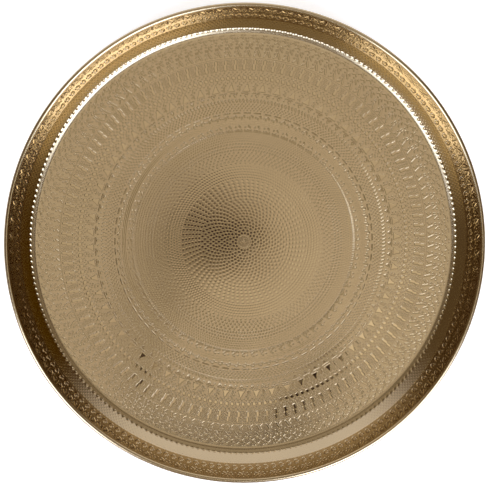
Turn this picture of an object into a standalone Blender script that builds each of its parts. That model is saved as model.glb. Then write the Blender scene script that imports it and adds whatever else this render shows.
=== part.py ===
"""A round embossed brass serving tray.

The tray is a pan pressed from one brass sheet. Its edge is rolled outwards over a steel wire,
and four felt pads are stuck to its underside. Units are metres and +Z is up. The origin is the
centre of the tray, at the level that the pads stand on.
"""

import math

import bmesh
import bpy

# Overall size
TRAY_RADIUS = 0.200
TRAY_HEIGHT = 0.035
SHEET = 0.0008
CLEARANCE = 0.0003

# Pan, from the middle outwards: the flat floor, the band that carries a ring of beads, and the
# cove, which meets the wall in a crease. Each slope is the one reached at that radius.
FLOOR_RADIUS = 0.1745
BEAD_BAND_RADIUS = 0.1802
BEAD_BAND_SLOPE = math.radians(35)
COVE_RADIUS = 0.1870
COVE_SLOPE = math.radians(52)

# Rolled rim and the wire inside it
RIM_ROLL_RADIUS = 0.0021
RIM_ROLL_TURN = math.radians(280)
WIRE_RADIUS = RIM_ROLL_RADIUS - SHEET - CLEARANCE

# Felt pads
PAD_RADIUS = 0.011
PAD_THICKNESS = 0.002
PAD_EDGE_ROUNDING = 0.0003
PAD_CIRCLE_RADIUS = 0.150
PAD_COUNT = 4

# Fineness of the round shapes
TURN_STEPS = 96
BEAD_BAND_STEPS = 5
COVE_STEPS = 4
ROLL_STEPS = 12
WIRE_STEPS = 8
PAD_STEPS = 24
SHARP_ANGLE = math.radians(35)
SAME_POINT = 0.000001

# Levels that follow from the sizes above
FLOOR_TOP = PAD_THICKNESS + CLEARANCE + SHEET
ROLL_CENTRE = (TRAY_RADIUS - RIM_ROLL_RADIUS, TRAY_HEIGHT - RIM_ROLL_RADIUS)


def remove_everything():
    """Start from an empty scene."""
    for thing in list(bpy.data.objects):
        bpy.data.objects.remove(thing, do_unlink=True)


def make_material(name, colour, roughness, metallic):
    """Return a Principled material."""
    material = bpy.data.materials.new(name)
    material.use_nodes = True
    shader = material.node_tree.nodes["Principled BSDF"]
    shader.inputs["Base Color"].default_value = (*colour, 1.0)
    shader.inputs["Roughness"].default_value = roughness
    shader.inputs["Metallic"].default_value = metallic
    return material


def arc(centre, radius, start, turn, steps):
    """Return points along an arc, both ends included. Angles run anticlockwise from +X."""
    angles = [start + turn * step / steps for step in range(steps + 1)]
    return [
        (centre[0] + radius * math.cos(angle), centre[1] + radius * math.sin(angle))
        for angle in angles
    ]


def rising_arc(start, end_radius, slope_in, slope_out, steps):
    """Return the points of an arc that rises outwards while its slope steepens."""
    bend = (end_radius - start[0]) / (math.sin(slope_out) - math.sin(slope_in))
    centre = (start[0] - bend * math.sin(slope_in), start[1] + bend * math.cos(slope_in))
    return arc(centre, bend, slope_in - math.radians(90), slope_out - slope_in, steps)


def slope_to_roll(foot):
    """Return the slope of the straight wall from its foot to where it touches the rolled rim."""
    run = ROLL_CENTRE[0] - foot[0]
    rise = ROLL_CENTRE[1] - foot[1]
    return math.atan2(rise, run) + math.asin(RIM_ROLL_RADIUS / math.hypot(run, rise))


def show_side():
    """Return the upper and inner face of the pan as (radius, height) points."""
    edge = (FLOOR_RADIUS, FLOOR_TOP)
    bead_band = rising_arc(edge, BEAD_BAND_RADIUS, 0.0, BEAD_BAND_SLOPE, BEAD_BAND_STEPS)
    cove = rising_arc(bead_band[-1], COVE_RADIUS, BEAD_BAND_SLOPE, COVE_SLOPE, COVE_STEPS)
    roll_start = slope_to_roll(cove[-1]) + math.radians(90)
    roll = arc(ROLL_CENTRE, RIM_ROLL_RADIUS, roll_start, -RIM_ROLL_TURN, ROLL_STEPS)
    return [(0.0, FLOOR_TOP)] + bead_band + cove[1:] + roll


def back_side(points, thickness):
    """Return the other face of the sheet, with each point moved square to the face."""
    moved = []
    last = len(points) - 1
    for index, (radius, height) in enumerate(points):
        before = points[max(index - 1, 0)]
        after = points[min(index + 1, last)]
        slope_in = math.atan2(height - before[1], radius - before[0])
        slope_out = math.atan2(after[1] - height, after[0] - radius)
        if index == 0:
            slope_in = slope_out
        if index == last:
            slope_out = slope_in
        bend = (slope_out - slope_in + math.pi) % math.tau - math.pi
        slope = slope_in + bend / 2
        reach = thickness / math.cos(bend / 2)
        moved.append((radius + reach * math.sin(slope), height - reach * math.cos(slope)))
    return moved


def turned_mesh(name, outline):
    """Spin a closed outline of (radius, height) points a full turn about Z."""
    shape = bmesh.new()
    corners = [shape.verts.new((radius, 0.0, height)) for radius, height in outline]
    pairs = zip(corners, corners[1:] + corners[:1])
    on_axis = {corner for corner in corners if corner.co.x < SAME_POINT}
    edges = [shape.edges.new(pair) for pair in pairs if not on_axis.issuperset(pair)]
    bmesh.ops.spin(
        shape,
        geom=corners + edges,
        cent=(0.0, 0.0, 0.0),
        axis=(0.0, 0.0, 1.0),
        angle=math.tau,
        steps=TURN_STEPS,
    )
    bmesh.ops.remove_doubles(shape, verts=shape.verts, dist=SAME_POINT)
    bmesh.ops.recalc_face_normals(shape, faces=shape.faces)
    return finished_mesh(name, shape)


def is_level(edge):
    """Tell whether both ends of an edge are at one height."""
    return abs(edge.verts[0].co.z - edge.verts[1].co.z) < SAME_POINT


def pad_mesh():
    """Return a felt disc with softly rounded edges, standing on its own origin."""
    shape = bmesh.new()
    bmesh.ops.create_cone(
        shape,
        cap_ends=True,
        segments=PAD_STEPS,
        radius1=PAD_RADIUS,
        radius2=PAD_RADIUS,
        depth=PAD_THICKNESS,
    )
    bmesh.ops.translate(shape, verts=shape.verts, vec=(0.0, 0.0, PAD_THICKNESS / 2))
    rims = [edge for edge in shape.edges if is_level(edge)]
    bmesh.ops.bevel(shape, geom=rims, offset=PAD_EDGE_ROUNDING, segments=1, affect="EDGES")
    return finished_mesh("felt_pad", shape)


def finished_mesh(name, shape):
    """Turn a bmesh into a mesh that is smooth except at its real edges."""
    mesh = bpy.data.meshes.new(name)
    shape.to_mesh(mesh)
    shape.free()
    mesh.shade_smooth()
    mesh.set_sharp_from_angle(angle=SHARP_ANGLE)
    return mesh


def place(name, mesh, material, parent, location=(0.0, 0.0, 0.0)):
    """Add one piece of the tray under the tray's empty."""
    piece = bpy.data.objects.new(name, mesh)
    bpy.context.scene.collection.objects.link(piece)
    if not mesh.materials:
        mesh.materials.append(material)
    piece.parent = parent
    piece.location = location
    return piece


def build_pan(tray):
    """Add the pressed sheet, with its floor, bead band, cove, wall and rolled rim."""
    brass = make_material("embossed_brass", (0.56, 0.43, 0.24), 0.34, 1.0)
    face = show_side()
    outline = face + back_side(face, SHEET)[::-1]
    place("tray_pan", turned_mesh("tray_pan", outline), brass, tray)


def build_rim_wire(tray):
    """Add the round wire that the rim is rolled over."""
    steel = make_material("rim_steel", (0.45, 0.45, 0.46), 0.40, 1.0)
    outline = arc(ROLL_CENTRE, WIRE_RADIUS, 0.0, math.tau, WIRE_STEPS)[:-1]
    place("rim_wire", turned_mesh("rim_wire", outline), steel, tray)


def build_pads(tray):
    """Add the felt pads, evenly spaced on a circle under the floor."""
    felt = make_material("pad_felt", (0.055, 0.040, 0.030), 0.95, 0.0)
    mesh = pad_mesh()
    for number in range(PAD_COUNT):
        angle = math.tau * (number + 0.5) / PAD_COUNT
        spot = (PAD_CIRCLE_RADIUS * math.cos(angle), PAD_CIRCLE_RADIUS * math.sin(angle), 0.0)
        place(f"felt_pad_{number + 1}", mesh, felt, tray, spot)


def build_tray():
    """Build the whole tray under one empty."""
    remove_everything()
    tray = bpy.data.objects.new("tray", None)
    bpy.context.scene.collection.objects.link(tray)
    build_pan(tray)
    build_rim_wire(tray)
    build_pads(tray)


build_tray()
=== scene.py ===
"""The looks of a round embossed brass tray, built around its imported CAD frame.

The pan is rebuilt with its pressed pattern as real geometry: rows of vertices follow its section from
the middle of the floor, over the rolled rim, to the underside. The pads and the rim wire are the CAD
solids themselves. The studio is a world of soft lights, because brass shows mostly what it mirrors.
"""

import math
from collections import namedtuple

import bpy
import numpy as np
from mathutils import Matrix, Vector


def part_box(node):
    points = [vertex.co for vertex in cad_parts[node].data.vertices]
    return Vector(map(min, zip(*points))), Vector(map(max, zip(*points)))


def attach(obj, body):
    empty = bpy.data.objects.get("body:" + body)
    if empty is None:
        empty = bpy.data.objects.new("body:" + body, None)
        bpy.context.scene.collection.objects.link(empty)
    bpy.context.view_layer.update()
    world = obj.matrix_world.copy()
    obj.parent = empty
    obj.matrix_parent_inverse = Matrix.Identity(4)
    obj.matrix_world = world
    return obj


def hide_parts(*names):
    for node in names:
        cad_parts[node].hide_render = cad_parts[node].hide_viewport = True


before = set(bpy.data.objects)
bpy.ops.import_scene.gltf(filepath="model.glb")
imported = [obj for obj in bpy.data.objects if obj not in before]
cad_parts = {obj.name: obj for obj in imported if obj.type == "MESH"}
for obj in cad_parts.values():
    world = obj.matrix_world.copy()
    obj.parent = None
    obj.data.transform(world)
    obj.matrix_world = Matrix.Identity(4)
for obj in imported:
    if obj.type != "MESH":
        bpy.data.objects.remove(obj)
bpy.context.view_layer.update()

# The pan's section and pattern are in millimetres, and everything else is in metres.
MM = 0.001

# The pan's sheet and section, beyond what the frame's boxes say. A ring of hollows lies on the band
# outside the floor, and creases separate the band, the cove and the wall.
SHEET = 0.8
FLOOR_RADIUS = 173.4
BAND_RADIUS = 179.4
BAND_SLOPE = math.radians(27)
COVE_RADIUS = 187.0
COVE_FOOT_SLOPE = math.radians(38)
COVE_SLOPE = math.radians(44)
WALL_FOOT_SLOPE = math.radians(59)
ROLL_TURN = math.radians(290)

# Fineness of the pan's mesh: the step between vertices in the middle of the floor, on the rest of the
# pattern, on the plain margin below the rim, over the roll, and behind
MIDDLE_END = 53.0
MIDDLE_STEP = 0.20
FINE_STEP = 0.30
MARGIN_STEP = 1.0
ROLL_STEP = 0.30
BACK_STEP = 1.1

# Where the first row lies, how many parts the margin and the roll have around the tray, and how
# nearly two rows must start at one angle for quads to join them
HUB_RADIUS = 0.15
MARGIN_REPEATS = 182
ROLL_COLUMNS = 1440
SAME_TURN = 1e-9

# How far inside the ends of a ring its marks fade out, how much of them shows behind, and the angles
# that turn the first ring and each one after it. All angles of the pattern are in radians from +X.
RING_FADE = 0.35
BACK_RELIEF = 0.6
FIRST_TURN = 0.37
RING_TURN = 2.4

# Unevenness of the pressing: its swing around the tray, and what it gains towards the far left
PRESS_SWING = 0.07
PRESS_GAIN = 0.10
FAR_LEFT = 2.2

# Share of full pressing in the middle of the floor, which leaves the marks there less polished
MEDALLION_PRESSED = 0.7
DIMPLE_PRESSED = 0.75


# ---------------------------------------------------------------- section of the pan


def pan_size():
    """Read the pan's outer radius and the height of its underside from the frame, in millimetres."""
    low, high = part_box("tray_pan")
    return {"radius": high.x / MM, "under": low.z / MM}


def arc_piece(start, slope_in, slope_out, run):
    """Describe an arc of the section that rises outwards from start over a given run."""
    bend = run / (math.sin(slope_out) - math.sin(slope_in))
    rise = bend * (math.cos(slope_in) - math.cos(slope_out))
    end = (start[0] + run, start[1] + rise)
    return {
        "start": start,
        "end": end,
        "slope": slope_in,
        "turn": slope_out - slope_in,
        "length": bend * (slope_out - slope_in),
    }


def line_piece(start, end):
    """Describe a straight stretch of the section."""
    run = end[0] - start[0]
    rise = end[1] - start[1]
    return {
        "start": start,
        "end": end,
        "slope": math.atan2(rise, run),
        "turn": 0.0,
        "length": math.hypot(run, rise),
    }


def rim_roll(size):
    """Return the centre and the radius of the rolled rim, which lies around the wire."""
    wire_low, wire_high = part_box("rim_wire")
    wire = (wire_high.z - wire_low.z) / MM / 2
    centre = (wire_high.x / MM - wire, (wire_high.z + wire_low.z) / MM / 2)
    return centre, size["radius"] - centre[0]


def pan_section():
    """Return the pieces of the show face, from the centre to the end of the rolled rim."""
    size = pan_size()
    roll_centre, roll = rim_roll(size)
    floor_top = size["under"] + SHEET
    floor = line_piece((0.0, floor_top), (FLOOR_RADIUS, floor_top))
    band = arc_piece(floor["end"], 0.0, BAND_SLOPE, BAND_RADIUS - FLOOR_RADIUS)
    cove = arc_piece(band["end"], COVE_FOOT_SLOPE, COVE_SLOPE, COVE_RADIUS - BAND_RADIUS)
    wall = hollow_wall(cove["end"], roll_centre, roll)
    rim = {
        "start": wall["end"],
        "slope": wall["slope"] + wall["turn"],
        "turn": -ROLL_TURN,
        "length": roll * ROLL_TURN,
    }
    return [floor, band, cove, wall, rim]


def hollow_wall(foot, roll_centre, roll):
    """Describe the wall, a shallow arc that leaves its foot at a set slope and meets the roll."""
    inwards = (-math.sin(WALL_FOOT_SLOPE), math.cos(WALL_FOOT_SLOPE))
    gap = (foot[0] - roll_centre[0], foot[1] - roll_centre[1])
    along = gap[0] * inwards[0] + gap[1] * inwards[1]
    bend = (math.hypot(*gap) ** 2 - roll**2) / (2 * (roll - along))
    centre = (foot[0] + bend * inwards[0], foot[1] + bend * inwards[1])
    towards = math.atan2(roll_centre[1] - centre[1], roll_centre[0] - centre[0])
    turn = towards + math.pi / 2 - WALL_FOOT_SLOPE
    return {
        "start": foot,
        "end": (centre[0] + bend * math.cos(towards), centre[1] + bend * math.sin(towards)),
        "slope": WALL_FOOT_SLOPE,
        "turn": turn,
        "length": bend * turn,
    }


def on_section(pieces, distance):
    """Return radius, height and slope of the show face at a distance along it."""
    for index, piece in enumerate(pieces):
        if distance <= piece["length"] or index == len(pieces) - 1:
            break
        distance -= piece["length"]
    turned = piece["turn"] * distance / piece["length"]
    if piece["turn"]:
        bend = piece["length"] / piece["turn"]
        run = bend * (math.sin(piece["slope"] + turned) - math.sin(piece["slope"]))
        rise = bend * (math.cos(piece["slope"]) - math.cos(piece["slope"] + turned))
    else:
        run = distance * math.cos(piece["slope"])
        rise = distance * math.sin(piece["slope"])
    return piece["start"][0] + run, piece["start"][1] + rise, piece["slope"] + turned


# ---------------------------------------------------------------- marks of the pressed pattern
# Each mark takes x along the ring and y outwards, and returns 1 where it is pressed fully down.

# Width of the slope at the edge of a mark
SOFT_EDGE = 0.45
DOT_EDGE = 0.35
BROAD_EDGE = 0.6

# Share of a dot's radius inside the middle of that slope
DOT_SHARE = 0.85


def edge(distance, blur=SOFT_EDGE):
    """Return 1 inside a mark and 0 outside, with a soft slope where the distance is 0."""
    part = np.clip(0.5 - distance / blur, 0.0, 1.0)
    return part * part * (3.0 - 2.0 * part)


def dot(x, y, at=(0.0, 0.0), radius=0.8, squash=1.0):
    """A round dimple, or an oval one when squashed along the radius."""
    reach = np.hypot(x - at[0], (y - at[1]) / squash)
    return edge(reach - radius * DOT_SHARE, DOT_EDGE)


def stroke(x, y, start, end, width):
    """A straight stroke with round ends and a flat bottom."""
    along = np.array(end, float) - np.array(start, float)
    part = ((x - start[0]) * along[0] + (y - start[1]) * along[1]) / float(along @ along)
    part = np.clip(part, 0.0, 1.0)
    return edge(np.hypot(x - start[0] - part * along[0], y - start[1] - part * along[1]) - width / 2)


def bow(x, y, centre, radius, start, end, width):
    """A stroke bent along an arc, from one angle to another, in degrees anticlockwise from +x."""
    dx = x - centre[0]
    dy = y - centre[1]
    middle = math.radians((start + end) / 2)
    half = math.radians(abs(end - start) / 2)
    angle = (np.arctan2(dy, dx) - middle + math.pi) % math.tau - math.pi
    angle = np.clip(angle, -half, half) + middle
    near_x = radius * np.cos(angle)
    near_y = radius * np.sin(angle)
    return edge(np.hypot(dx - near_x, dy - near_y) - width / 2)


def block(x, y, at, half_width, half_height, lean=0.0, rounding=0.5):
    """A rounded block, whose sides may lean along the ring."""
    dx = np.abs(x - at[0] - lean * (y - at[1])) - half_width + rounding
    dy = np.abs(y - at[1]) - half_height + rounding
    outside = np.hypot(np.maximum(dx, 0.0), np.maximum(dy, 0.0))
    return edge(outside + np.minimum(np.maximum(dx, dy), 0.0) - rounding)


def wedge(x, y, at, half_width, height):
    """A triangle on a flat base. A negative height points it at the tray's centre."""
    part = (y - at[1]) / height
    side = np.abs(x - at[0]) - half_width * (1.0 - part)
    ends = np.maximum(-part, part - 1.0) * abs(height)
    square_to_side = 0.8
    return edge(np.maximum(side * square_to_side, ends))


def staggered(mark, x, y, pitch, length, rows, shift=0.5):
    """Repeat a mark in evenly spaced rows, each moved along the ring against the one before."""
    result = np.zeros_like(x)
    for row in range(rows):
        at_y = -length / 2 + (row + 0.5) * length / rows
        offset = (row * shift) % 1.0 * pitch
        at_x = (x - offset + pitch / 2) % pitch - pitch / 2
        result = np.maximum(result, mark(at_x, y - at_y))
    return result


def reaching(mark):
    """Make a motif of a mark that may reach past its own repeat, by drawing its neighbours too."""
    def motif(x, y, pitch, length):
        shapes = [mark(x + pitch * side, y, pitch, length) for side in (-1, 0, 1)]
        return np.maximum.reduce(shapes)
    return motif


# ---------------------------------------------------------------- motifs, one per ring of the pattern
# Each motif takes x and y as a mark does, and the ring's pitch around and its length outwards. The
# numbers in a motif are the places and sizes of its marks, from the middle of one repeat.


def medallion(x, y, pitch, length):
    """A small engraved circle around three dots and a middle one."""
    circle = edge(np.abs(y - length * 0.36) - 0.2, DOT_EDGE)
    middle = dot(0.0, y + length / 2, radius=0.75)
    around = dot(x, y, (0.0, -length * 0.17), 0.75)
    return MEDALLION_PRESSED * np.maximum.reduce([circle, around, middle])


def dotted(rows, radius, shift=0.5):
    """Return a motif of staggered rows of small dimples."""
    def mark(x, y):
        return dot(x, y, radius=radius)
    return lambda x, y, pitch, length: staggered(mark, x, y, pitch, length, rows, shift)


def dimples(rows, shift=0.5, radius=1.1):
    """Return a motif of staggered rows of broad dimples, with the sheet domed between them."""
    def mark(x, y):
        return DIMPLE_PRESSED * edge(np.hypot(x, y) - radius, BROAD_EDGE)
    return lambda x, y, pitch, length: staggered(mark, x, y, pitch, length, rows, shift)


def grooves(rows, width):
    """Return a motif of plain turned lines."""
    def motif(x, y, pitch, length):
        spacing = length / rows
        across = (y + length / 2) % spacing - spacing / 2
        return edge(np.abs(across) - width / 2, DOT_EDGE)
    return motif


def dashes(share, width):
    """Return a motif of one broken line."""
    def motif(x, y, pitch, length):
        half = pitch * share / 2
        return stroke(x, y, (-half, 0.0), (half, 0.0), width)
    return motif


@reaching
def comb(x, y, pitch, length):
    """A hooked stroke over a comb of short slanted teeth."""
    teeth = [stroke(x, y, (t, -2.6), (t + 0.5, -1.2), 0.8) for t in (-3.4, -1.7, 0.0, 1.7)]
    hook = bow(x, y, (-0.6, 0.9), 1.5, 100, 270, 0.9)
    return np.maximum.reduce(teeth + [hook, dot(x, y, (1.7, 1.4), 0.7)])


@reaching
def arches(x, y, pitch, length):
    """A hooked arch with a dot beside it."""
    arch = bow(x, y, (-0.7, 0.0), 1.3, -10, 190, 0.8)
    leg = stroke(x, y, (0.6, -1.3), (0.6, 0.2), 1.1)
    return np.maximum.reduce([arch, leg, dot(x, y, (2.6, -0.2), 0.6)])


@reaching
def lozenges(x, y, pitch, length):
    """Short slanted lozenges."""
    return stroke(x, y, (-0.45, -1.0), (0.45, 1.0), 1.1)


@reaching
def small_triangles(x, y, pitch, length):
    """Small triangles that point at the centre, with a dot between them."""
    return np.maximum(wedge(x, y, (0.0, 1.3), 1.5, -2.5), dot(x, y, (4.5, 0.3), 0.6))


@reaching
def hills(x, y, pitch, length):
    """Broad hills with a hollow flank, and an upright bar between dots beside each."""
    reach = length / 2 - 0.9
    part = np.clip((y + reach) / (2 * reach), 0.0, 1.0)
    centre = -0.9 * (1.0 + part)
    half_width = 1.0 + 2.4 * (1.0 - part) ** 1.8
    hill = edge(np.maximum(np.abs(x - centre) - half_width, np.abs(y) - reach))
    bar = stroke(x, y, (4.6, -2.2), (4.6, 1.2), 0.8)
    spots = [dot(x, y, at, 0.65) for at in ((6.1, 1.6), (3.0, 2.4), (6.2, -1.2), (4.4, 3.2))]
    return np.maximum.reduce([hill, bar] + spots)


@reaching
def punches(x, y, pitch, length):
    """Rounded punches that lean a little."""
    return block(x, y, (0.0, 0.0), 1.5, 1.6, 0.18, 0.9)


@reaching
def bent_bars(x, y, pitch, length):
    """Thick S-shaped bars."""
    upper = block(x, y, (-0.45, 2.3), 1.15, 2.2, 0.0, 0.8)
    lower = block(x, y, (0.45, -2.1), 1.35, 2.5, 0.0, 0.8)
    return np.maximum(upper, lower)


def bars(x, y, pitch, length):
    """Thick S-shaped bars with a field of fine, shallow dots between them."""
    field = dotted(8, 0.5)(x, y, pitch / 5, length - 1.2)
    clear = edge(2.3 - np.abs((x + pitch / 2) % pitch - pitch / 2), BROAD_EDGE)
    return np.maximum(bent_bars(x, y, pitch, length), field * clear * 0.8)


@reaching
def peaks(x, y, pitch, length):
    """Slanted strokes that make open peaks, with a dot in each."""
    left = stroke(x, y, (-2.3, -2.1), (-0.7, 2.0), 1.35)
    right = stroke(x, y, (0.7, -0.6), (2.5, -2.3), 1.1)
    return np.maximum.reduce([left, right, dot(x, y, (1.9, 1.4), 0.8)])


@reaching
def hooks(x, y, pitch, length):
    """Curled hooks over short upright strokes."""
    curl = bow(x, y, (-1.6, 1.0), 1.2, -60, 170, 0.95)
    tail = stroke(x, y, (-0.9, 0.0), (-2.4, -1.9), 1.1)
    feet = [stroke(x, y, (t, -2.2), (t + 0.1, -0.6), 0.8) for t in (0.9, 2.5)]
    return np.maximum.reduce([curl, tail, dot(x, y, (1.9, 1.8), 0.8)] + feet)


@reaching
def scales(x, y, pitch, length):
    """Arched scales with a three-pointed mark in each gap."""
    arch = bow(x, y, (0.0, -0.3), 2.4, 25, 155, 1.1)
    gap = pitch / 2
    tips = ((gap, 1.2), (gap + 1.9, -2.0), (gap - 1.9, -2.0))
    legs = [stroke(x, y, (gap, -0.6), tip, 0.9) for tip in tips]
    return np.maximum.reduce([arch] + legs)


@reaching
def pairs(x, y, pitch, length):
    """Two small oval dots side by side."""
    return np.maximum(dot(x, y, (-2.3, 0.15), 0.8, 0.75), dot(x, y, (0.1, -0.1), 1.0, 0.7))


@reaching
def hollows(x, y, pitch, length):
    """Small leaning oval hollows."""
    return np.clip(1.0 - ((x + 0.5 * y) / 1.6) ** 2 - (y / 1.3) ** 2, 0.0, 1.0)


@reaching
def crescents(x, y, pitch, length):
    """Upright crescents, each with a small curl inside."""
    outer = bow(x, y, (0.9, -0.3), 3.2, 115, 245, 0.8)
    inner = bow(x, y, (0.9, 0.4), 1.1, -80, 170, 0.6)
    return np.maximum.reduce([outer, inner, dot(x, y, (0.6, -2.8), 0.5)])


@reaching
def sprays(x, y, pitch, length):
    """Tall sprays: an upright bar between slanted leaves, with dots."""
    bar = stroke(x, y, (pitch / 2, -3.8), (pitch / 2, 4.6), 1.1)
    upper = [stroke(x, y, (3.9 * side, 3.6), (1.1 * side, -0.6), 1.2) for side in (-1, 1)]
    lower = [stroke(x, y, (3.4 * side, -4.4), (0.6 * side, -2.2), 1.1) for side in (-1, 1)]
    spots = [dot(x, y, at, 1.0) for at in ((0.0, 3.2), (-4.2, -0.8), (4.2, -0.8), (0.0, -5.0))]
    return np.maximum.reduce([bar] + upper + lower + spots)


def plain(x, y, pitch, length):
    """No marks."""
    return np.zeros_like(x)


# Rings of the pattern, from the centre outwards: how far along the show face the ring ends, how
# often its motif repeats, the motif, and how deep it is pressed.
RINGS = [
    (5.9, 3, medallion, 0.052),
    (12.9, 17, dimples(3), 0.023),
    (22.2, 34, dimples(4), 0.023),
    (36.2, 51, dimples(6), 0.025),
    (52.5, 75, dimples(6, 0.12), 0.031),
    (63.7, 166, dimples(5, 0.5, 0.75), 0.044),
    (66.6, 103, dimples(1, 0.5, 0.85), 0.052),
    (75.7, 125, dotted(4, 0.85), 0.060),
    (83.4, 205, dotted(3, 0.75), 0.075),
    (91.3, 261, dotted(4, 0.60), 0.050),
    (98.4, 75, comb, 0.090),
    (102.4, 321, grooves(3, 0.4), 0.036),
    (106.7, 96, arches, 0.090),
    (109.4, 79, dashes(0.62, 0.7), 0.080),
    (116.2, 240, dotted(4, 0.60), 0.075),
    (120.4, 250, lozenges, 0.085),
    (124.0, 84, small_triangles, 0.090),
    (125.3, 84, dashes(0.66, 0.6), 0.070),
    (132.8, 62, hills, 0.070),
    (135.4, 250, dotted(2, 0.55), 0.065),
    (139.8, 186, punches, 0.076),
    (143.0, 250, dotted(2, 0.60), 0.070),
    (153.9, 115, bars, 0.087),
    (155.2, 240, grooves(1, 0.5), 0.050),
    (160.9, 120, peaks, 0.085),
    (167.0, 120, hooks, 0.080),
    (172.4, 120, scales, 0.076),
    (173.8, 120, pairs, 0.070),
    (177.6, 244, plain, 0.000),
    (180.6, 244, hollows, 0.300),
    (190.0, 364, dotted(5, 0.65), 0.050),
    (201.0, 182, crescents, 0.380),
    (213.2, 91, sprays, 0.340),
]


# ---------------------------------------------------------------- the pan's mesh

# A row of vertices: their points, how far each is pressed, and the angle of the first around the tray
Row = namedtuple("Row", "points pressed turn")

# A ring of the pattern, from where it starts to where it ends along the show face
Ring = namedtuple("Ring", "start end repeats motif depth turn")


def press_variation(angle, distance):
    """How unevenly the dies bit: deepest at the far left, with a slow change around and across."""
    broad = np.sin(3 * angle + 0.7)
    fine = 0.7 * np.sin(7 * angle + 2.1 + distance * 0.05)
    return 1.0 + PRESS_SWING * (broad + fine) + PRESS_GAIN * (1.0 + np.cos(angle - FAR_LEFT))


def sheet_warp(x, y):
    """The slight unevenness of pressed sheet, in millimetres: a broad swell and two finer ones."""
    broad = 0.050 * np.sin(x * 0.049 + 0.6) * np.cos(y * 0.043 - 0.4)
    slanted = 0.028 * np.sin(x * 0.093 - y * 0.071 + 1.9)
    fine = 0.016 * np.sin(y * 0.151 + x * 0.037 + 0.3)
    return broad + slanted + fine


def ring_rows(start, end, step):
    """Evenly spaced distances inside a ring of the pattern, half a space clear of both ends."""
    count = max(2, math.ceil((end - start) / step))
    return start + (np.arange(count) + 0.5) * (end - start) / count


def ring_points(radius, height, slope, lift, turn):
    """Place one row of vertices, moved off the section by lift, square to it."""
    reach = radius - math.sin(slope) * lift
    x = reach * np.cos(turn)
    y = reach * np.sin(turn)
    z = height + math.cos(slope) * lift + sheet_warp(x, y)
    return np.stack([x, y, z], axis=1)


def face_rows(pieces, ring, step, behind=False):
    """Return the rows of vertices for one ring of the pattern, on the show face or behind it."""
    middle = (ring.start + ring.end) / 2
    pitch = math.tau * on_section(pieces, middle)[0] / ring.repeats
    columns = max(4, round(pitch / step))
    turn = ring.turn + np.arange(ring.repeats * columns) * math.tau / (ring.repeats * columns)
    share = (np.arange(columns) + 0.5) / columns - 0.5
    rows = []
    for distance in ring_rows(ring.start, ring.end, step):
        radius, height, slope = on_section(pieces, distance)
        local_pitch = math.tau * radius / ring.repeats
        y = np.full(columns, distance - middle)
        marks = ring.motif(share * local_pitch, y, local_pitch, ring.end - ring.start)
        fade = min(1.0, min(distance - ring.start, ring.end - distance) / RING_FADE)
        pressed = np.tile(marks, ring.repeats) * fade * press_variation(turn, distance)
        lift = -ring.depth * pressed
        if behind:
            lift = lift * BACK_RELIEF - SHEET
        rows.append(Row(ring_points(radius, height, slope, lift, turn), pressed, turn[0]))
    return rows


def roll_rows(pieces, start, end, lift):
    """Return the smooth rows of the rolled rim, on the show face or behind it."""
    turn = FIRST_TURN + np.arange(ROLL_COLUMNS) * math.tau / ROLL_COLUMNS
    rows = []
    for distance in ring_rows(start, end, ROLL_STEP):
        radius, height, slope = on_section(pieces, distance)
        points = ring_points(radius, height, slope, lift, turn)
        rows.append(Row(points, np.zeros(ROLL_COLUMNS), turn[0]))
    return rows


def pan_rows():
    """Return every row of the pan, from the middle of the floor over the rim to the underside."""
    pieces = pan_section()
    face_end = sum(piece["length"] for piece in pieces)
    wall_end = face_end - pieces[-1]["length"]
    front = []
    back = []
    start = HUB_RADIUS
    for index, (end, repeats, motif, depth) in enumerate(RINGS):
        ring = Ring(start, end, repeats, motif, depth, FIRST_TURN + index * RING_TURN)
        front += face_rows(pieces, ring, MIDDLE_STEP if end < MIDDLE_END else FINE_STEP)
        back += face_rows(pieces, ring, BACK_STEP, behind=True)
        start = end
    margin = Ring(start, wall_end, MARGIN_REPEATS, plain, 0.0, FIRST_TURN)
    front += face_rows(pieces, margin, MARGIN_STEP)
    back += face_rows(pieces, margin, MARGIN_STEP, behind=True)
    front += roll_rows(pieces, wall_end, face_end, 0.0)
    back += roll_rows(pieces, wall_end, face_end, -SHEET)
    return front + back[::-1]


def stitch(first, second, base_first, base_second):
    """Return the triangles between two rows whose counts or starting angles differ."""
    count_a = len(first.points)
    count_b = len(second.points)
    index = np.arange(count_a)
    middles = first.turn + (index + 0.5) * math.tau / count_a
    nearest = np.round((middles - second.turn) / (math.tau / count_b)).astype(np.int64)
    steps = np.arange(nearest[0], nearest[0] + count_b)
    owner = np.searchsorted(np.append(nearest, nearest[0] + count_b), steps, side="right")
    on_first = [
        base_first + index,
        base_second + nearest % count_b,
        base_first + (index + 1) % count_a,
    ]
    on_second = [
        base_first + owner % count_a,
        base_second + steps % count_b,
        base_second + (steps + 1) % count_b,
    ]
    return np.concatenate([np.stack(on_first, axis=1), np.stack(on_second, axis=1)])


def grid(count, base_first, base_second):
    """Return the quads between two rows of the same count and starting angle."""
    index = np.arange(count)
    after = (index + 1) % count
    corners = [base_first + index, base_second + index, base_second + after, base_first + after]
    return np.stack(corners, axis=1)


def hub(count, base, middle, upwards):
    """Return the triangles from a row to the vertex in its middle."""
    index = np.arange(count)
    after = (index + 1) % count
    centre = np.full(count, middle)
    order = [centre, base + index, base + after] if upwards else [centre, base + after, base + index]
    return np.stack(order, axis=1)


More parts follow.
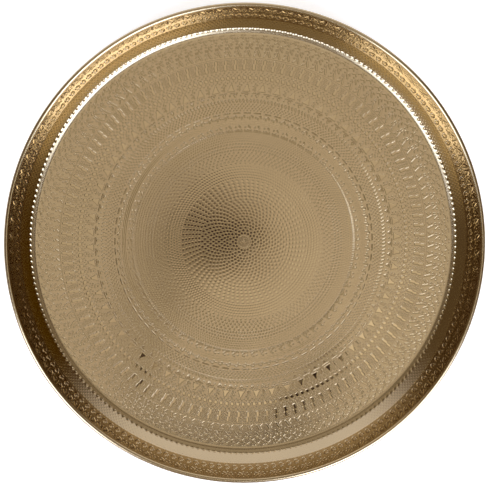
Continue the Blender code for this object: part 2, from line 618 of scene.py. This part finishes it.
def skin(rows):
    """Join rows of vertices into points, triangles, quads and a pressed value for each point."""
    bases = np.cumsum([0] + [len(row.points) for row in rows])
    triangles = []
    quads = []
    for first, second, base_first, base_second in zip(rows, rows[1:], bases, bases[1:]):
        same_turn = abs(first.turn - second.turn) < SAME_TURN
        if same_turn and len(first.points) == len(second.points):
            quads.append(grid(len(first.points), base_first, base_second))
        else:
            triangles.append(stitch(first, second, base_first, base_second))
    points = [row.points for row in rows]
    pressed = [row.pressed for row in rows]
    ends = ((rows[0], bases[0], bases[-1], True), (rows[-1], bases[-2], bases[-1] + 1, False))
    for row, base, middle, upwards in ends:
        triangles.append(hub(len(row.points), base, middle, upwards))
        points.append(row.points.mean(axis=0, keepdims=True))
        pressed.append(row.pressed[:1])
    return np.concatenate(points), triangles, quads, np.concatenate(pressed)


def mesh_object(name, points, triangles, quads, pressed):
    """Make a smooth-shaded mesh object from arrays in millimetres."""
    mesh = bpy.data.meshes.new(name)
    corners = np.concatenate([part.reshape(-1) for part in triangles + quads])
    triangle_count = sum(len(part) for part in triangles)
    quad_count = sum(len(part) for part in quads)
    sizes = np.concatenate([np.full(triangle_count, 3), np.full(quad_count, 4)])
    starts = np.concatenate([[0], np.cumsum(sizes)[:-1]])
    mesh.vertices.add(len(points))
    mesh.vertices.foreach_set("co", (points * MM).astype(np.float32).reshape(-1))
    mesh.loops.add(len(corners))
    mesh.loops.foreach_set("vertex_index", corners.astype(np.int32))
    mesh.polygons.add(len(sizes))
    mesh.polygons.foreach_set("loop_start", starts.astype(np.int32))
    mesh.update(calc_edges=True)
    mesh.validate()
    attribute = mesh.attributes.new("pressed", "FLOAT", "POINT")
    attribute.data.foreach_set("value", pressed.astype(np.float32))
    mesh.shade_smooth()
    piece = bpy.data.objects.new(name, mesh)
    bpy.context.scene.collection.objects.link(piece)
    return piece


def build_pan(material):
    """Build the embossed pan in place of its plain CAD solid."""
    pan = mesh_object("embossed_pan", *skin(pan_rows()))
    pan.data.materials.append(material)
    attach(pan, "root")
    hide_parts("tray_pan")


# ---------------------------------------------------------------- materials

# Colours, from the darker to the paler parts of a material
BRASS_TONES = ((0.505, 0.378, 0.205, 1.0), (0.525, 0.394, 0.215, 1.0))
FELT_TONES = ((0.030, 0.021, 0.015, 1.0), (0.085, 0.064, 0.048, 1.0))
STEEL = (0.42, 0.42, 0.43, 1.0)

# Roughness, from the smoother to the rougher parts of a material
BRASS_ROUGHNESS = (0.16, 0.20)
STEEL_ROUGHNESS = (0.35, 0.50)

# How far a mark is pressed where its polish starts and where it is complete, and the share of the
# sheet's roughness that is left there
POLISH_SPAN = (0.3, 0.9)
POLISHED = 0.35

# Almost all of a noise's values lie between these.
NOISE_SPAN = (0.3, 0.7)

# Sockets of the Mix node that it uses for colours: its share and two colours, and its result
MIX_INPUTS = (0, 6, 7)
MIX_RESULT = 2


class Nodes:
    """A short way to write node trees."""

    def __init__(self, tree):
        self.tree = tree

    def add(self, kind, **settings):
        """Add a node of a kind, with its settings."""
        node = self.tree.nodes.new(kind)
        for name, value in settings.items():
            setattr(node, name, value)
        return node

    def feed(self, socket, value):
        """Link an output into a socket, or set the socket to a plain value."""
        if isinstance(value, bpy.types.NodeSocket):
            self.tree.links.new(value, socket)
        else:
            socket.default_value = value

    def maths(self, operation, first, second=0.0, third=0.0):
        """Return the result of an operation on up to three values."""
        node = self.add("ShaderNodeMath", operation=operation)
        for socket, value in zip(node.inputs, (first, second, third)):
            self.feed(socket, value)
        return node.outputs[0]

    def spread(self, value, low, high, to_low, to_high, smooth=False):
        """Return a value moved from one range to another, and held at the ends of both."""
        node = self.add("ShaderNodeMapRange")
        node.interpolation_type = "SMOOTHSTEP" if smooth else "LINEAR"
        for socket, entry in zip(node.inputs, (value, low, high, to_low, to_high)):
            self.feed(socket, entry)
        return node.outputs[0]

    def blend(self, share, first, second):
        """Return a colour between two others."""
        node = self.add("ShaderNodeMix", data_type="RGBA")
        for number, value in zip(MIX_INPUTS, (share, first, second)):
            self.feed(node.inputs[number], value)
        return node.outputs[MIX_RESULT]

    def noise(self, where, scale, detail=2.0, roughness=0.5):
        """Return smooth noise, with its scale in features per metre."""
        node = self.add("ShaderNodeTexNoise")
        self.feed(node.inputs["Vector"], where)
        node.inputs["Scale"].default_value = scale
        node.inputs["Detail"].default_value = detail
        node.inputs["Roughness"].default_value = roughness
        return node.outputs["Fac"]


def new_material(name):
    """Return a material, its node helper and its Principled shader."""
    material = bpy.data.materials.new(name)
    material.use_nodes = True
    nodes = Nodes(material.node_tree)
    return material, nodes, material.node_tree.nodes["Principled BSDF"]


def brass_material():
    """Satin antique brass. The dies left the bottoms of the marks smoother than the sheet."""
    material, nodes, shader = new_material("antique_brass")
    place = nodes.add("ShaderNodeTexCoord").outputs["Object"]
    pressed = nodes.add("ShaderNodeAttribute", attribute_name="pressed").outputs["Fac"]
    cloud = nodes.noise(place, scale=22.0, detail=3.0)
    grain = nodes.noise(place, scale=900.0)
    tone = nodes.spread(cloud, *NOISE_SPAN, 0.0, 1.0)
    nodes.feed(shader.inputs["Base Color"], nodes.blend(tone, *BRASS_TONES))
    shader.inputs["Metallic"].default_value = 1.0
    rough = nodes.spread(grain, *NOISE_SPAN, *BRASS_ROUGHNESS)
    left = nodes.spread(pressed, *POLISH_SPAN, 1.0, POLISHED)
    nodes.feed(shader.inputs["Roughness"], nodes.maths("MULTIPLY", rough, left))
    return material


def felt_material():
    """Dark brown pressed felt."""
    material, nodes, shader = new_material("brown_felt")
    place = nodes.add("ShaderNodeTexCoord").outputs["Object"]
    fibres = nodes.noise(place, scale=1800.0, detail=4.0, roughness=0.7)
    nodes.feed(shader.inputs["Base Color"], nodes.blend(fibres, *FELT_TONES))
    shader.inputs["Roughness"].default_value = 0.95
    return material


def steel_material():
    """Dull drawn steel wire."""
    material, nodes, shader = new_material("drawn_steel")
    place = nodes.add("ShaderNodeTexCoord").outputs["Object"]
    drawn = nodes.noise(place, scale=300.0, detail=3.0)
    shader.inputs["Base Color"].default_value = STEEL
    shader.inputs["Metallic"].default_value = 1.0
    nodes.feed(shader.inputs["Roughness"], nodes.spread(drawn, *NOISE_SPAN, *STEEL_ROUGHNESS))
    return material


def finish_frame_pieces():
    """Give the pads and the wire, which are the CAD solids themselves, their materials."""
    felt = felt_material()
    steel = steel_material()
    for name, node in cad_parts.items():
        if name != "tray_pan":
            node.data.materials.clear()
            node.data.materials.append(steel if name == "rim_wire" else felt)


# ---------------------------------------------------------------- studio

CAMERA_PLACE = Vector((-0.107, 0.174, 2.3))
CAMERA_AIM = Vector((0.0011, -0.0031, 0.0))
CAMERA_LENS = 201.6
SENSOR = 36.0

# The studio's floor glows a little, and more as the camera sees it, so that it looks evenly pale.
STUDIO_FLOOR_SIZE = 8.0
PALE_FLOOR = (0.80, 0.80, 0.80, 1.0)
FLOOR_GLOW = 0.35
FLOOR_GLOW_SEEN = 0.7
WHITE = (1.0, 1.0, 1.0, 1.0)

# Lights of the studio: middle azimuth from +X, half width, lowest and highest elevation, softness
# and strength. Angles are in degrees, and a negative strength is a dark panel.
SOFTBOXES = [
    (-55, 21, 24, 67, 3, 6.3),
    (-133, 18, 24, 69, 3, 4.9),
]
ROOM = [
    (90, 46, 42, 74, 8, 0.26),
    (-90, 16, 70, 80, 4, 0.15),
    (-96, 20, 22, 60, 6, 0.10),
    (0, 40, -20, 45, 8, -0.06),
    (-60, 17, 78, 83.5, 1, 0.26),
    (-46, 6, 79, 83, 1, 0.20),
    (135, 35, 73, 83, 3, 0.30),
]
LOW_LIGHTS = [
    (-53, 24, -20, 24, 4, 0.10),
    (-53, 24, -20, 9, 5, 0.90),
    (-137, 22, -20, 24, 4, 0.10),
    (-137, 22, -20, 9, 5, 0.62),
    (-92, 70, -20, 30, 6, 0.12),
]
FILL = [
    (90, 46, -20, 38, 9, 0.97),
]

# The room is neutral, the softboxes and the fill are cool, and the lights low down in front are warm.
TINTED = [
    ((1.0, 1.0, 1.0), ROOM),
    ((0.82, 0.99, 1.45), SOFTBOXES),
    ((1.12, 0.93, 0.58), LOW_LIGHTS),
    ((0.90, 0.97, 1.20), FILL),
]

# The sides of a light are softer than its top and bottom by this factor.
SIDE_SOFTNESS = 1.6

# Glows around the direction that the camera sees mirrored in the floor: how far off it each starts
# and stops to fade, in degrees, and its strength before and after
OVERHEAD_GLOWS = [
    (5.0, 13.0, 0.36, 0.0),
    (8.0, 45.0, 0.34, 0.045),
]

# Colour of the studio where no light is
DIM_GLOW = (0.09, 0.05, 0.01)

# Painted shade overhead: dark shapes that the floor of the tray mirrors, given where it mirrors them:
# two ends and a radius. The last number is their softness on the sheet that carries them.
SHADES = [
    ((-0.048, 0.014), (-0.004, 0.001), 0.027, 0.024),
    ((-0.066, -0.010), (-0.080, -0.050), 0.012, 0.006),
    ((0.073, -0.104), (0.023, -0.167), 0.013, 0.006),
    ((-0.085, -0.060), (-0.084, -0.150), 0.009, 0.006),
    ((-0.070, -0.173), (0.045, -0.183), 0.018, 0.006),
]
SHADE_HEIGHT = 0.6
SHADE_SHEET_SIZE = 1.2
# Glow of the painted shade: warm brown painted reflection at the soft edges, nearly black in the middle
SHADE_EDGE = (0.30, 0.13, 0.01, 1.0)
SHADE_MIDDLE = (0.04, 0.02, 0.01, 1.0)


def build_camera():
    """Place the camera nearly overhead, a little towards the tray's far left."""
    data = bpy.data.cameras.new("camera")
    data.lens = CAMERA_LENS
    data.sensor_width = SENSOR
    camera = bpy.data.objects.new("camera", data)
    bpy.context.scene.collection.objects.link(camera)
    camera.location = CAMERA_PLACE
    towards = CAMERA_AIM - CAMERA_PLACE
    right = towards.cross(Vector((0.0, 1.0, 0.0))).normalized()
    up = right.cross(towards).normalized()
    turn = np.array([right, up, -towards.normalized()]).T
    camera.rotation_euler = Matrix(turn.tolist()).to_euler()
    bpy.context.scene.camera = camera


def build_floor():
    """Lay a plain pale floor."""
    bpy.ops.mesh.primitive_plane_add(size=STUDIO_FLOOR_SIZE, location=(0.0, 0.0, 0.0))
    floor = bpy.context.object
    floor.name = "studio_floor"
    material, nodes, shader = new_material("pale_floor")
    shader.inputs["Base Color"].default_value = PALE_FLOOR
    shader.inputs["Roughness"].default_value = 0.7
    shader.inputs["Specular IOR Level"].default_value = 0.1
    shader.inputs["Emission Color"].default_value = WHITE
    seen = nodes.add("ShaderNodeLightPath").outputs["Is Camera Ray"]
    glow = nodes.spread(seen, 0.0, 1.0, FLOOR_GLOW, FLOOR_GLOW_SEEN)
    nodes.feed(shader.inputs["Emission Strength"], glow)
    floor.data.materials.append(material)


def window(nodes, value, low, high, soft):
    """Return 1 between two values and 0 outside, with soft ends."""
    rise = nodes.spread(value, low - soft, low + soft, 0.0, 1.0, smooth=True)
    fall = nodes.spread(value, high - soft, high + soft, 1.0, 0.0, smooth=True)
    return nodes.maths("MULTIPLY", rise, fall)


def add_lights(nodes, lights, azimuth, elevation):
    """Return the total brightness of a list of lights in a direction, as a node output."""
    total = 0.0
    for middle, half, low, high, soft, strength in lights:
        turned = nodes.maths("WRAP", nodes.maths("SUBTRACT", azimuth, middle), 180.0, -180.0)
        across = window(nodes, turned, -half, half, soft * SIDE_SOFTNESS)
        level = window(nodes, elevation, low, high, soft)
        glow = nodes.maths("MULTIPLY", across, level)
        total = nodes.maths("MULTIPLY_ADD", glow, strength, total)
    return total


def add_overhead_glows(nodes, direction):
    """Return the brightness of the glows around the mirrored camera direction, as a node output."""
    mirrored = Vector((-CAMERA_PLACE.x, -CAMERA_PLACE.y, CAMERA_PLACE.z)).normalized()
    facing = nodes.add("ShaderNodeVectorMath", operation="DOT_PRODUCT")
    nodes.feed(facing.inputs[0], direction)
    facing.inputs[1].default_value = mirrored
    aside = nodes.maths("ARCCOSINE", facing.outputs["Value"])
    aside = nodes.maths("MULTIPLY", aside, math.degrees(1.0))
    total = 0.0
    for start, stop, strength, rest in OVERHEAD_GLOWS:
        total = nodes.maths("ADD", total, nodes.spread(aside, start, stop, strength, rest, smooth=True))
    return total


def build_world():
    """Light the scene with a soft studio: pale overhead, two softboxes in front and a fill behind."""
    world = bpy.data.worlds.new("studio")
    bpy.context.scene.world = world
    world.use_nodes = True
    nodes = Nodes(world.node_tree)
    direction = nodes.add("ShaderNodeTexCoord").outputs["Generated"]
    parts = nodes.add("ShaderNodeSeparateXYZ")
    nodes.feed(parts.inputs[0], direction)
    azimuth = nodes.maths("ARCTAN2", parts.outputs["Y"], parts.outputs["X"])
    azimuth = nodes.maths("MULTIPLY", azimuth, math.degrees(1.0))
    elevation = nodes.maths("ARCSINE", parts.outputs["Z"])
    elevation = nodes.maths("MULTIPLY", elevation, math.degrees(1.0))
    overhead = add_overhead_glows(nodes, direction)
    groups = [(tint, add_lights(nodes, lights, azimuth, elevation)) for tint, lights in TINTED]
    colour = nodes.add("ShaderNodeCombineXYZ")
    for channel, socket in enumerate(colour.inputs):
        total = nodes.maths("ADD", overhead, DIM_GLOW[channel])
        for tint, brightness in groups:
            total = nodes.maths("MULTIPLY_ADD", brightness, tint[channel], total)
        nodes.feed(socket, total)
    seen = nodes.add("ShaderNodeLightPath").outputs["Is Camera Ray"]
    shown = nodes.blend(seen, colour.outputs[0], WHITE)
    nodes.feed(world.node_tree.nodes["Background"].inputs["Color"], shown)


def place_overhead(spot):
    """Return the place at the shades' height that the camera sees mirrored at a spot on the floor."""
    share = SHADE_HEIGHT / CAMERA_PLACE.z
    return tuple(at + (at - camera) * share for at, camera in zip(spot, CAMERA_PLACE))


def distance_to_stroke(nodes, x, y, start, end):
    """Return the distance of a point from a straight stroke, as a node output."""
    along = (end[0] - start[0], end[1] - start[1])
    dx = nodes.maths("SUBTRACT", x, start[0])
    dy = nodes.maths("SUBTRACT", y, start[1])
    part = nodes.maths("MULTIPLY", dy, along[1])
    part = nodes.maths("MULTIPLY_ADD", dx, along[0], part)
    part = nodes.spread(part, 0.0, along[0] ** 2 + along[1] ** 2, 0.0, 1.0)
    dx = nodes.maths("SUBTRACT", dx, nodes.maths("MULTIPLY", part, along[0]))
    dy = nodes.maths("SUBTRACT", dy, nodes.maths("MULTIPLY", part, along[1]))
    squares = nodes.maths("ADD", nodes.maths("MULTIPLY", dx, dx), nodes.maths("MULTIPLY", dy, dy))
    return nodes.maths("SQRT", squares)


def shade_cover(nodes):
    """Return how much of the view the shades cover at a point of their sheet, as a node output."""
    parts = nodes.add("ShaderNodeSeparateXYZ")
    nodes.feed(parts.inputs[0], nodes.add("ShaderNodeTexCoord").outputs["Object"])
    cover = 0.0
    for start, end, radius, blur in SHADES:
        ends = (place_overhead(start), place_overhead(end))
        near = distance_to_stroke(nodes, parts.outputs["X"], parts.outputs["Y"], *ends)
        radius = radius * (1 + SHADE_HEIGHT / CAMERA_PLACE.z)
        shape = nodes.spread(near, radius - blur, radius + blur, 1.0, 0.0, smooth=True)
        cover = nodes.maths("MAXIMUM", cover, shape)
    return cover


def shade_material():
    """Clear, with soft dark shapes on it that glow dimly: painted shade, with warm painted reflection
    at their edges.
    """
    material, nodes, _ = new_material("overhead_shades")
    cover = shade_cover(nodes)
    clear = nodes.add("ShaderNodeBsdfTransparent")
    dark = nodes.add("ShaderNodeEmission")
    nodes.feed(dark.inputs["Color"], nodes.blend(cover, SHADE_EDGE, SHADE_MIDDLE))
    mix = nodes.add("ShaderNodeMixShader")
    for socket, value in zip(mix.inputs, (cover, clear.outputs[0], dark.outputs[0])):
        nodes.feed(socket, value)
    output = material.node_tree.nodes["Material Output"]
    nodes.feed(output.inputs["Surface"], mix.outputs[0])
    return material


def build_shades():
    """Hang a sheet of painted shade overhead, which only reflections see."""
    bpy.ops.mesh.primitive_plane_add(size=SHADE_SHEET_SIZE, location=(0.0, 0.0, SHADE_HEIGHT))
    sheet = bpy.context.object
    sheet.name = "overhead_shades"
    sheet.data.materials.append(shade_material())
    sheet.visible_camera = False
    sheet.visible_diffuse = False
    sheet.visible_shadow = False


# ---------------------------------------------------------------- assembly

build_pan(brass_material())
finish_frame_pieces()
build_floor()
build_world()
build_shades()
build_camera()
bpy.context.scene.view_settings.view_transform = "Standard"
